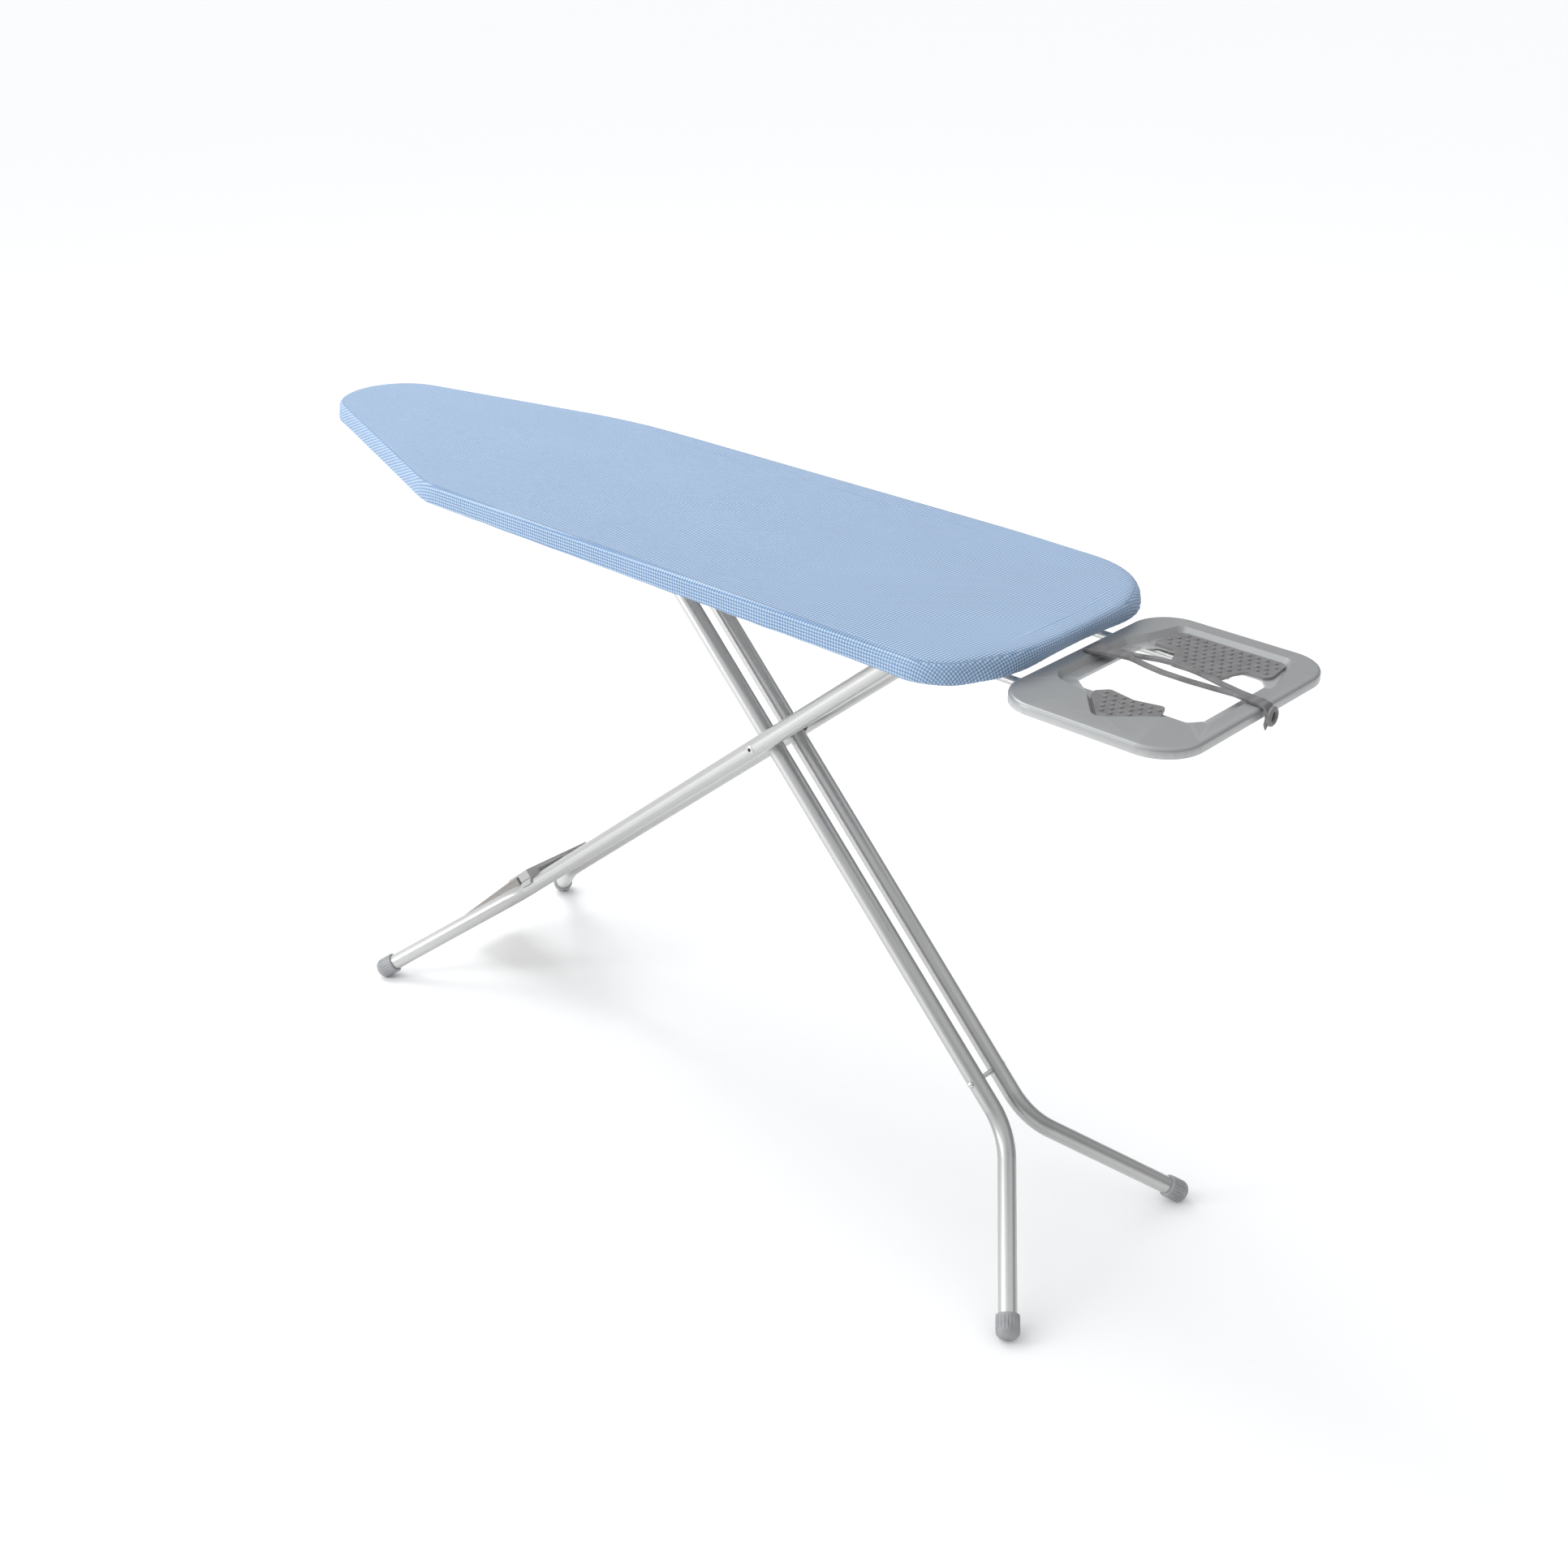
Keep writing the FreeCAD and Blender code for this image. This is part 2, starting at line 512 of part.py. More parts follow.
def make_pad_near():
    x = REST_X
    outline = rounded_wire([(x - 41, -67, 4), (x - 30, -54, 5), (x + 2, -60, 8), (x + 34, -52, 5),
                            (x + 44, -77, 4), (x - 2, -119, 8), (x - 36, -80, 5)], TRAY_FLOOR)
    return dotted_pad(outline, dot_grid((x - 40, x + 46), -112.0, 7, 1))


def make_strap():
    """Silicone hold strap over the opening: a flat band slit into two strands, hooked over the rim."""
    low = REST_TOP + STEP_GAP
    x, x1 = REST_X, REST_X + REST_LENGTH / 2
    outline = rounded_wire([(x - 103, -3, 3), (x - 103, 22, 3), (x - 84, 26, 8), (x - 51, 26, 20),
                            (x - 10, 37, 60), (x + 86, 19, 20), (x1 + 5, 14, 2), (x1 + 5, 0, 2),
                            (x + 84, 4, 20), (x - 10, 0, 60), (x - 51, 8, 20), (x - 84, 2, 8)], low)
    slit = rounded_wire([(x - 54, 17, 1), (x - 10, 31, 40), (x + 76, 13, 1), (x + 50, 8, 30),
                         (x - 10, 6, 40)], low)
    band = prism(outline, STRAP_T, [slit])
    hook = block((x1 + 0.8, 0, REST_TOP - 16), (x1 + 5, 14, low + STRAP_T))
    down = V(0.25, 0, -1)
    prongs = [Part.makeCone(3.0, 0.8, 6.0, V(x1 + 4.0, y, REST_TOP - 15), down) for y in (1.5, 12.5)]
    knob = bar((x1 + 4.0, 7, REST_TOP - 10), (x1 + 11.0, 7, REST_TOP - 10), 8.0, 3.0)
    return fused([band, hook, knob] + prongs)


def make_strap_anchor():
    """Moulded saddle under the strap's fixed end."""
    x = REST_X - 92
    return block((x - 13, -3, REST_TOP - 11.0), (x - 4.2, 25, REST_TOP - REST_SHEET - STEP_GAP))


def make_rest_arm():
    """Near round steel arm from under the board to the rest."""
    start, end = HINGE_BEAM_X - 14, REST_X + 24
    return bar((start, -ARM_Y, ARM_Z), (end, -ARM_Y, ARM_Z), ARM_R)


def make_arm_hangers():
    """Four saddles that hang the rest's arms from the cross beams."""
    group = []
    for x in (HINGE_BEAM_X, END_BEAM_X):
        for side in (-1, 1):
            y = side * ARM_Y
            saddle = block((x - 9, y - 9, ARM_Z - 8), (x + 9, y + 9, RIM_BOTTOM + RIM_T))
            hole = bar((x - 10, y, ARM_Z), (x + 10, y, ARM_Z), ARM_R)
            group.append(saddle.cut(hole))
    return Part.makeCompound(group)


def make_rest_saddles():
    """Four blocks that hold the arms under the rest: two below its rim, two below its floor."""
    group = []
    for x, top in ((REST_X - 101.5, REST_TOP - REST_SHEET), (REST_X + 10, TRAY_FLOOR - LIP_DEPTH)):
        for side in (-1, 1):
            y = side * ARM_Y
            saddle = block((x - 6, y - 8, ARM_Z - 7.5), (x + 6, y + 8, top - STEP_GAP))
            group.append(saddle.cut(bar((x - 7, y, ARM_Z), (x + 7, y, ARM_Z), ARM_R)))
    return Part.makeCompound(group)


# ---- height lever --------------------------------------------------------
LEVER_X = PIVOT_X - 275.0
LEVER_Z = 774.0
LEVER_PIN_R = 2.5


def make_lever_bracket():
    """Two ears under the deck that carry the lever's pin."""
    top = block((LEVER_X - 12, -13, DECK_BOTTOM - 1.5), (LEVER_X + 12, 13, DECK_BOTTOM))
    ears = [block((LEVER_X - 8, s * 7.9 - 0.6, LEVER_Z - 7), (LEVER_X + 8, s * 7.9 + 0.6, DECK_BOTTOM))
            for s in (-1, 1)]
    hole = bar((LEVER_X, -14, LEVER_Z), (LEVER_X, 14, LEVER_Z), LEVER_PIN_R)
    return fused([top] + ears).cut(hole)


def make_lever():
    """Lock plate over the slider's path with a bent wire handle towards the near edge."""
    low, sheet = 768.5, 2.5
    plate = block((LEVER_X, -6, low), (LEVER_X + 152, 6, low + sheet))
    hub = bar((LEVER_X, -7, LEVER_Z), (LEVER_X, 7, LEVER_Z), 5.0)
    web = block((LEVER_X - 3, -6, low), (LEVER_X + 4, 6, LEVER_Z))
    bore = bar((LEVER_X, -8, LEVER_Z), (LEVER_X, 8, LEVER_Z), LEVER_PIN_R + RUNNING_GAP)
    wire_x, wire_z, wire_r, turn_r = LEVER_X + 165, low + 1.0, 2.5, 12.0
    path = [V(LEVER_X + 145, 0, wire_z), V(wire_x - turn_r, 0, wire_z),
            V(wire_x - turn_r * (1 - math.sin(math.pi / 4)), -turn_r * (1 - math.cos(math.pi / 4)), wire_z),
            V(wire_x, -turn_r, wire_z), V(wire_x, -146, wire_z)]
    spine = Part.Wire([Part.LineSegment(path[0], path[1]).toShape(), Part.Arc(*path[1:4]).toShape(),
                       Part.LineSegment(path[3], path[4]).toShape()])
    handle = spine.makePipeShell([Part.Wire(Part.makeCircle(wire_r, path[0], X_AXIS))], True, True)
    return fused([plate, hub, web, handle]).cut(bore)


def build_lever():
    nodes["lever_bracket"] = make_lever_bracket()
    nodes["lever_pin"] = bar((LEVER_X, -8.7, LEVER_Z), (LEVER_X, 8.7, LEVER_Z), LEVER_PIN_R)
    nodes["height_lever"] = make_lever()
    x, z = LEVER_X + 165, 769.5
    grip = bar((x, -150, z), (x, -96, z), 6.0)
    grip = grip.makeFillet(1.5, [e for e in grip.Edges if e.BoundBox.YLength < 0.1])
    nodes["lever_grip"] = grip.cut(bar((x, -146, z), (x, -96, z), 2.5))


# ---- assembly ------------------------------------------------------------
nodes["cover"] = make_cover()
nodes["foam_pad"] = layer(DECK_TOP, FOAM_TOP - STEP_GAP, COVER_T + STEP_GAP)
nodes["hem_elastic"] = make_hem_elastic()
nodes["deck_sheet"] = make_deck()
build_rim()
nodes["cross_beam_end"] = make_cross_beam(END_BEAM_X)
nodes["cross_beam_hinge"] = make_cross_beam(HINGE_BEAM_X)
nodes["cross_beam_nose"] = make_cross_beam(NOSE_BEAM_X)
both_sides("hinge_bracket", make_hinge_bracket())
hinge_reach = OUTER_Y + TUBE_R + 7
nodes["hinge_rod"] = bar((HINGE_X, -hinge_reach, HINGE_Z), (HINGE_X, hinge_reach, HINGE_Z), HINGE_ROD_R)
nodes["hinge_rod_caps"] = Part.makeCompound(
    [bar((HINGE_X, s * (hinge_reach - 2.5), HINGE_Z), (HINGE_X, s * hinge_reach, HINGE_Z), 8.0, HINGE_ROD_R)
     for s in (-1, 1)])
both_sides("height_rack", make_rack())
nodes["deck_rivets"] = make_rivets()
build_lever()
build_outer_legs()
build_inner_legs()
nodes["rest_tray"] = make_rest_tray()
nodes["rest_pad_far"] = make_pad_far()
nodes["rest_pad_near"] = make_pad_near()
nodes["hold_strap"] = make_strap()
nodes["strap_anchor"] = make_strap_anchor()
both_sides("rest_arm", make_rest_arm())
nodes["arm_hangers"] = make_arm_hangers()
nodes["rest_saddles"] = make_rest_saddles()

os.makedirs("parts", exist_ok=True)
for name, shape in nodes.items():
    shape.exportStep("parts/%s.step" % name)
box = FreeCAD.BoundBox()
for name, shape in nodes.items():
    box.add(shape.BoundBox)
    if not shape.isValid() or shape.Volume <= 0:
        print("CHECK", name, "valid", shape.isValid(), "volume", round(shape.Volume, 1))
print("nodes", len(nodes), "x %.1f %.1f y %.1f %.1f z %.1f %.1f" % (
    box.XMin, box.XMax, box.YMin, box.YMax, box.ZMin, box.ZMax))
print("hinge x %.2f slide x %.2f" % (HINGE_X, SLIDE_X))
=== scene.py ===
"""Ironing board with a tray for a steam iron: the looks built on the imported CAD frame, in metres."""
import math

import bmesh
import bpy
from mathutils import Matrix, Vector, kdtree, noise


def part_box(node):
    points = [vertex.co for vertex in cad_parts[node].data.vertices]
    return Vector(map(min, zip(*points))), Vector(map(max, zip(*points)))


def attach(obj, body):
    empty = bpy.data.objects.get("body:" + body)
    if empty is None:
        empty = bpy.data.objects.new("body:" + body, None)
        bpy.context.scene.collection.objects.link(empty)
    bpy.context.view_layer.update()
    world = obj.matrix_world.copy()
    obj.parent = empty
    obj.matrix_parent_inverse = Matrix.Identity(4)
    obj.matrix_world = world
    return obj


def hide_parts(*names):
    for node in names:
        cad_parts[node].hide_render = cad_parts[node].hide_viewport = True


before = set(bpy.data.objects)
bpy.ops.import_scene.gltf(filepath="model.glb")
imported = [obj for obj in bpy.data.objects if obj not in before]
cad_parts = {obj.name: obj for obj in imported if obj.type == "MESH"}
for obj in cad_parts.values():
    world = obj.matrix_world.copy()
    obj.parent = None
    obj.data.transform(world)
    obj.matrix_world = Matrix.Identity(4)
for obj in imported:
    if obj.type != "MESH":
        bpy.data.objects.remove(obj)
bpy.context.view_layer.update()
scene = bpy.context.scene

# ---- sizes, in metres ----------------------------------------------------
cover_low, cover_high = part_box("cover")
rest_low, rest_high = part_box("rest_tray")
foam_low, foam_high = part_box("foam_pad")
hem_low, hem_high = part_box("hem_elastic")
strap_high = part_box("hold_strap")[1]
pivot = sum(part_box("pivot_axle"), Vector()) / 2        # where the legs cross
hinge = sum(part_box("hinge_rod"), Vector()) / 2         # the outer legs' upper joint

COVER_DROP = cover_high.z - cover_low.z
END_LEAN = 0.694           # how far the wide end's skirt leans in for each metre down
CREASE_R, CREASE_R_END = 0.0060, 0.0135    # the top's rolled edge, along the board and at its wide end
PAD_GAP = 0.0009           # felt below the cover's inner face
CLOTH = 0.0007
STITCH_STEP = 0.004
CHECK = 0.0038
REST_MIDDLE = (rest_low.x + rest_high.x) / 2
LEG_TILT = math.atan2(hinge.z - pivot.z, hinge.x - pivot.x)    # outer legs above the floor


# ---- camera, light and floor ---------------------------------------------
def make_camera():
    """A long lens on the board's wide end, a little above the ironing surface."""
    yaw, pitch, roll = math.radians(42.60), math.radians(26.85), 0.004
    forward = Vector((-math.sin(yaw) * math.cos(pitch), math.cos(yaw) * math.cos(pitch), -math.sin(pitch)))
    right = forward.cross(Vector((0, 0, 1))).normalized()
    up = right.cross(forward)
    across = right * math.cos(roll) + up * math.sin(roll)
    upward = up * math.cos(roll) - right * math.sin(roll)
    data = bpy.data.cameras.new("camera")
    data.lens, data.sensor_width = 47.98, 36.0
    camera = bpy.data.objects.new("camera", data)
    turn = Matrix((across, upward, -forward)).transposed()
    camera.matrix_world = Matrix.Translation((1.6456, -1.6878, 1.6265)) @ turn.to_4x4()
    scene.collection.objects.link(camera)
    scene.camera = camera


def make_light(name, place, aim, size, power, tint=(1, 1, 1)):
    """Square softbox at place, looking at aim."""
    data = bpy.data.lights.new(name, "AREA")
    data.shape, data.size, data.size_y = "RECTANGLE", size[0], size[1]
    data.energy, data.color = power, tint
    lamp = bpy.data.objects.new(name, data)
    lamp.location = place
    lamp.rotation_euler = (Vector(aim) - Vector(place)).to_track_quat("-Z", "Y").to_euler()
    scene.collection.objects.link(lamp)


def make_studio():
    """Bright overhead and left, dim on the right, with a soft key light high behind the nose."""
    scene.world = bpy.data.worlds.new("studio")
    scene.view_settings.view_transform = "Standard"
    room = Finish("Background", scene.world)
    ray = room.node("ShaderNodeTexCoord", out=0)
    height = Wire(room, room.node("ShaderNodeSeparateXYZ", (), {0: ray}).socket.node.outputs[2])
    left = Wire(room, room.node("ShaderNodeVectorMath", {"operation": "DOT_PRODUCT"},
                                {0: ray, 1: (-0.80, -0.60, 0.0)}).socket.node.outputs[1])
    glow = room.between(0.25, 0.75, height) * 0.66 + room.between(0.0, 0.75, left) * 0.80 + 0.32
    room.plug(room.shader.inputs["Color"], room.mix(0.5, (0.96, 0.98, 1.0), (1, 1, 1)))
    room.plug(room.shader.inputs["Strength"], glow)
    make_light("key_softbox", (-1.75, 0.05, 3.3), (0, 0, 0.4), (1.6, 1.6), 34)
    make_light("left_strip", (-1.5, -2.4, 1.3), (0.1, 0, 0.6), (0.5, 2.4), 26)


# ---- finishes ------------------------------------------------------------
class Wire:
    """One socket of a material's nodes. Sums written on it add their Math nodes."""

    def __init__(self, finish, socket):
        self.finish, self.socket = finish, socket

    def sum(self, operation, first, second):
        return self.finish.node("ShaderNodeMath", {"operation": operation}, {0: first, 1: second})

    def __add__(self, other): return self.sum("ADD", self, other)
    def __sub__(self, other): return self.sum("SUBTRACT", self, other)
    def __rsub__(self, other): return self.sum("SUBTRACT", other, self)
    def __mul__(self, other): return self.sum("MULTIPLY", self, other)


class Finish:
    """A material or backdrop and the short ways to wire it."""

    def __init__(self, name, owner=None, **constants):
        self.material = owner or bpy.data.materials.new(name)
        self.material.use_nodes = True
        self.nodes = self.material.node_tree.nodes
        self.links = self.material.node_tree.links
        self.shader = self.nodes[name if owner else "Principled BSDF"]
        for label, value in constants.items():
            self.shader.inputs[label.replace("_", " ")].default_value = value

    def plug(self, socket, value):
        if isinstance(value, Wire):
            self.links.new(value.socket, socket)
        else:
            socket.default_value = value

    def node(self, kind, settings=(), sockets=(), out=0):
        made = self.nodes.new(kind)
        for label, value in dict(settings).items():
            if label == "stops":
                ramp = made.color_ramp.elements
                while len(ramp) < len(value):
                    ramp.new(0.5)
                for stop, (place, colour) in zip(ramp, value):
                    stop.position, stop.color = place, (*colour, 1)
            else:
                setattr(made, label, value)
        for label, value in dict(sockets).items():
            self.plug(made.inputs[label], value)
        return Wire(self, made.outputs[out])

    def place(self, kind="Object"):
        return self.node("ShaderNodeTexCoord", out={"Object": 3, "UV": 2}[kind])

    def scaled(self, place, size):
        """The place with each axis divided by its own size."""
        stretch = tuple(1 / s for s in size)
        return self.node("ShaderNodeVectorMath", {"operation": "MULTIPLY"}, {0: place, 1: stretch})

    def cloud(self, place, size, detail=3.0, rough=0.55):
        """Even grey noise, with blobs of about the given size."""
        settings = {"noise_dimensions": "3D"}
        return self.node("ShaderNodeTexNoise", settings,
                         {"Vector": place, "Scale": 1 / size, "Detail": detail, "Roughness": rough})

    def ramp(self, value, *stops):
        return self.node("ShaderNodeValToRGB", {"stops": stops}, {"Fac": value})

    def between(self, low, high, value):
        """0 below low, 1 above high, smooth between."""
        return self.node("ShaderNodeMapRange", {"interpolation_type": "SMOOTHSTEP"},
                         {"Value": value, "From Min": low, "From Max": high})

    def mix(self, share, first, second, blend="MIX"):
        """Two colours mixed by a share."""
        made = self.nodes.new("ShaderNodeMix")
        made.data_type, made.blend_type = "RGBA", blend
        for place, value in ((0, share), (6, first), (7, second)):
            self.plug(made.inputs[place], (*value, 1) if isinstance(value, tuple) else value)
        return Wire(self, made.outputs[2])

    def relief(self, height, depth, under=None):
        sockets = {"Height": height, "Distance": depth, "Strength": 1.0}
        if under:
            sockets["Normal"] = under
        return self.node("ShaderNodeBump", (), sockets)

    def finish(self, colour=None, roughness=None, metallic=None, normal=None):
        for label, value in (("Base Color", colour), ("Roughness", roughness),
                             ("Metallic", metallic), ("Normal", normal)):
            if value is not None:
                self.plug(self.shader.inputs[label], value)
        return self.material


def checked_cotton(name, kept_under_painted_shade=1.0):
    """Blue and white micro check, woven; the pattern follows the flat cloth."""
    f = Finish(name, Specular_IOR_Level=0.25, Sheen_Weight=0.25, Sheen_Roughness=0.5)
    flat = f.place("UV")
    axes = f.node("ShaderNodeSeparateXYZ", (), {0: flat})
    along, across = axes, Wire(f, axes.socket.node.outputs[1])
    wander = f.cloud(f.scaled(flat, (0.09, 0.09, 1)), 1.0) - 0.5
    bands = []
    for place in (along, across):
        turn = (place + wander * 0.0012) * (2 * math.pi / CHECK)
        wave = f.node("ShaderNodeMath", {"operation": "SINE"}, {0: turn})
        bands.append(f.between(-0.45, 0.45, wave))
    blue = (bands[0] + bands[1]) * 0.5
    slub = f.cloud(f.scaled(flat, (0.0006, 0.012, 1)), 1.0) + f.cloud(f.scaled(flat, (0.012, 0.0006, 1)), 1.0)
    mottle = f.cloud(f.scaled(flat, (0.16, 0.10, 1)), 1.0, 5.0)
    yarn = f.ramp(blue, (0.0, (0.57, 0.69, 0.81)), (0.5, (0.245, 0.395, 0.605)), (1.0, (0.085, 0.20, 0.43)))
    dyed = f.mix(f.between(0.35, 0.75, mottle) * 0.16, yarn, (0.36, 0.52, 0.76))
    thick_yarn, thin_yarn = f.mix(0.12, dyed, (0.02, 0.08, 0.25)), f.mix(0.10, dyed, (1, 1, 1))
    dyed = f.mix((slub - 1.0) * 0.5 + 0.5, thick_yarn, thin_yarn)
    # Painted shade: below 1 the colour is darkened towards deep blue, for the hem tucked under the board.
    if kept_under_painted_shade < 1:
        dyed = f.mix(1 - kept_under_painted_shade, dyed, (0.02, 0.05, 0.12))
    threads = []
    for place in (along, across):
        wave = f.node("ShaderNodeMath", {"operation": "SINE"}, {0: place * (2 * math.pi / 0.00095)})
        threads.append(wave)
    weave = f.relief(threads[0] * threads[1] + slub * 0.8, 0.00012)
    puffs = f.relief(bands[0] + bands[1], 0.00018, weave)
    return f.finish(dyed, f.between(0.2, 1.6, slub) * 0.12 + 0.80, normal=puffs)


def felt(name, light, dark):
    f = Finish(name, Specular_IOR_Level=0.2, Sheen_Weight=0.3)
    place = f.place()
    fibre = f.cloud(f.scaled(place, (0.004, 0.0012, 0.002)), 1.0, 6.0, 0.7)
    clump = f.cloud(place, 0.02, 4.0)
    colour = f.mix(f.between(0.35, 0.65, fibre) * 0.6 + f.between(0.4, 0.6, clump) * 0.4, dark, light)
    return f.finish(colour, fibre * 0.1 + 0.86, normal=f.relief(fibre, 0.0006))


def painted_steel(name, colour, dark, metallic, rough, peel):
    """Silver powder coat: fine metal flake, faint orange peel and light scuffs."""
    f = Finish(name, Coat_Weight=0.12, Coat_Roughness=0.25)
    place = f.place()
    flake = f.cloud(place, 0.0007, 2.0, 0.7)
    cloudy = f.cloud(place, 0.05, 3.0)
    skin = f.cloud(place, peel, 2.0)
    scuff = f.between(0.62, 0.80, f.cloud(f.scaled(place, (0.02, 0.004, 0.03)), 1.0, 6.0, 0.65))
    base = f.mix(f.between(0.3, 0.7, flake) * 0.35 + 0.4, dark, colour)
    base = f.mix(f.between(0.35, 0.7, cloudy) * 0.10, base, tuple(0.8 * c for c in dark))
    base = f.mix(scuff * 0.08, base, (0.80, 0.80, 0.79))
    edge = f.between(0.52, 0.60, f.node("ShaderNodeNewGeometry", out=7))
    base = f.mix(edge * 0.35, base, (0.78, 0.78, 0.77))
    return f.finish(base, skin * 0.08 + scuff * 0.10 + (rough - 0.06),
                    f.between(0.2, 0.6, flake) * 0.05 + (metallic - 0.05),
                    f.relief(flake, 0.000003, f.relief(skin, 0.00003)))


def zinc(name):
    """Galvanised sheet with its spangle."""
    f = Finish(name)
    place = f.place()
    drift = f.node("ShaderNodeTexNoise", (), {"Vector": place, "Scale": 60.0}, 1)
    bent = f.node("ShaderNodeVectorMath", {"operation": "ADD"}, {0: place, 1: f.scaled(drift, (90, 90, 90))})
    cell = f.node("ShaderNodeTexVoronoi", {"feature": "F1"}, {"Vector": bent, "Scale": 95.0}, 1)
    grey = f.node("ShaderNodeSeparateXYZ", (), {0: cell})
    stain = f.cloud(place, 0.03, 5.0)
    colour = f.ramp(grey, (0.0, (0.42, 0.43, 0.44)), (1.0, (0.63, 0.64, 0.65)))
    colour = f.mix(f.between(0.45, 0.75, stain) * 0.35, colour, (0.34, 0.34, 0.34))
    return f.finish(colour, grey * 0.14 + stain * 0.12 + 0.30, 0.85, f.relief(grey + stain, 0.00003))


def bright_steel(name):
    """Drawn bar: long fine scratches and a soft polish."""
    f = Finish(name)
    place = f.place()
    grain = f.cloud(f.scaled(place, (0.0006, 0.03, 0.0006)), 1.0, 4.0, 0.6)
    smear = f.cloud(place, 0.008, 3.0)
    colour = f.mix(f.between(0.3, 0.7, grain), (0.50, 0.50, 0.49), (0.74, 0.74, 0.73))
    return f.finish(colour, grain * 0.16 + smear * 0.10 + 0.14, 0.95, f.relief(grain, 0.00002))


def moulded(name, colour, dark, rough, grain=0.0009):
    """Moulded plastic or rubber: spark-eroded grain, dust in the low places."""
    f = Finish(name, Specular_IOR_Level=0.4)
    place = f.place()
    pits = f.cloud(place, grain, 3.0, 0.6)
    worn = f.cloud(place, 0.012, 5.0, 0.6)
    base = f.mix(f.between(0.35, 0.65, worn), dark, colour)
    edge = f.between(0.51, 0.60, f.node("ShaderNodeNewGeometry", out=7))
    base = f.mix(edge * 0.30, base, tuple(min(1, 1.6 * c) for c in colour))
    return f.finish(base, worn * 0.16 + pits * 0.08 + (rough - 0.12), normal=f.relief(pits, 0.00010))


def bridge_coat_painted_shade(name):
    """The leg bridge's coat, with light and shade painted in: saddles painted light as if lit, the apron a
    darker taupe as if in shade, and painted shade as a near-black hollow under the arch.
    """
    f = Finish(name, Specular_IOR_Level=0.4)
    place = f.place()
    axes = f.node("ShaderNodeSeparateXYZ", (), {0: place})
    x, y, z = (Wire(f, axes.socket.node.outputs[i]) for i in range(3))
    down = (x - pivot.x) * -math.cos(LEG_TILT) + (z - pivot.z) * -math.sin(LEG_TILT)
    above = (x - pivot.x) * -math.sin(LEG_TILT) + (z - pivot.z) * math.cos(LEG_TILT)
    grain = f.cloud(place, 0.0012, 3.0, 0.6)
    worn = f.cloud(place, 0.02, 4.0)
    # Painted light and shade on one paint: the saddles lighter grey as if lit, the apron down the leg a
    # darker taupe as if in shade.
    paint = f.mix(f.between(0.600, 0.603, down), (0.40, 0.40, 0.395), (0.30, 0.275, 0.25))
    # Painted shade: a near-black patch under the arch between the tubes, where the hollow is in shadow.
    beside = f.node("ShaderNodeMath", {"operation": "ABSOLUTE"}, {0: y})
    hollow_painted_shade = (1 - f.between(0.0202, 0.0206, above)) * (1 - f.between(0.036, 0.038, beside))
    hollow_painted_shade = hollow_painted_shade * (1 - f.between(0.5935, 0.5945, down))
    paint = f.mix(f.between(0.35, 0.65, worn) * 0.2, paint, (0.24, 0.23, 0.22))
    # Lay the painted shade of the hollow over the paint.
    base = f.mix(hollow_painted_shade, paint, (0.045, 0.045, 0.048))
    return f.finish(base, worn * 0.14 + grain * 0.08 + 0.34, normal=f.relief(grain, 0.00006))


# ---- mesh helpers --------------------------------------------------------
def finished(name, bm, material, body="board"):
    """A new piece from a bmesh, riding on its body."""
    bmesh.ops.recalc_face_normals(bm, faces=bm.faces)
    mesh = bpy.data.meshes.new(name)
    bm.to_mesh(mesh)
    bm.free()
    mesh.materials.append(material)
    mesh.shade_smooth()
    piece = bpy.data.objects.new(name, mesh)
    scene.collection.objects.link(piece)
    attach(piece, body)
    return piece


def edge_ring(node, height):
    """A bmesh that holds only the outer edge of a CAD node, cut level at a height, in even short steps."""
    bm = bmesh.new()
    bm.from_mesh(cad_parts[node].data)
    bmesh.ops.remove_doubles(bm, verts=bm.verts, dist=1e-5)
    everything = bm.verts[:] + bm.edges[:] + bm.faces[:]
    bmesh.ops.bisect_plane(bm, geom=everything, plane_co=(0, 0, height), plane_no=(0, 0, 1),
                           clear_inner=True, clear_outer=True)
    start = max(bm.verts, key=lambda v: v.co.x)
    ring, front = {start}, [start]
    while front:
        here = front.pop()
        for edge in here.link_edges:
            there = edge.other_vert(here)
            if there not in ring:
                ring.add(there)
                front.append(there)
    bmesh.ops.delete(bm, geom=[v for v in bm.verts if v not in ring], context="VERTS")
    bmesh.ops.dissolve_limit(bm, angle_limit=math.radians(0.2), verts=bm.verts, edges=bm.edges)
    for edge in bm.edges[:]:
        cuts = round(edge.calc_length() / STITCH_STEP) - 1
        if cuts > 0:
            bmesh.ops.subdivide_edges(bm, edges=[edge], cuts=cuts)
    bmesh.ops.remove_doubles(bm, verts=bm.verts, dist=STITCH_STEP * 0.45)
    return bm


def slab(node, height, low, high):
    """The outline of a CAD node raised into a closed slab; gives the bmesh, its top and its bottom face."""
    bm = edge_ring(node, height)
    bottom = bmesh.ops.contextual_create(bm, geom=bm.edges)["faces"][0]
    bmesh.ops.translate(bm, verts=bm.verts, vec=(0, 0, low - height))
    raised = bmesh.ops.extrude_face_region(bm, geom=[bottom], use_keep_orig=True)["geom"]
    bmesh.ops.translate(bm, verts=[g for g in raised if isinstance(g, bmesh.types.BMVert)],
                        vec=(0, 0, high - low))
    bmesh.ops.recalc_face_normals(bm, faces=bm.faces)
    top = next(g for g in raised if isinstance(g, bmesh.types.BMFace))
    return bm, top, bottom


def lean_end(bm, level):
    """Lean the middle of the wide end's skirt in towards its hem, about a level."""
    for vert in bm.verts:
        share = smooth_step(0.40, 0.48, vert.co.x) * max(0.0, 1 - (vert.co.y / 0.115) ** 2)
        vert.co.x += END_LEAN * (vert.co.z - level) * share


def smooth_step(low, high, value):
    share = min(1.0, max(0.0, (value - low) / (high - low)))
    return share * share * (3 - 2 * share)


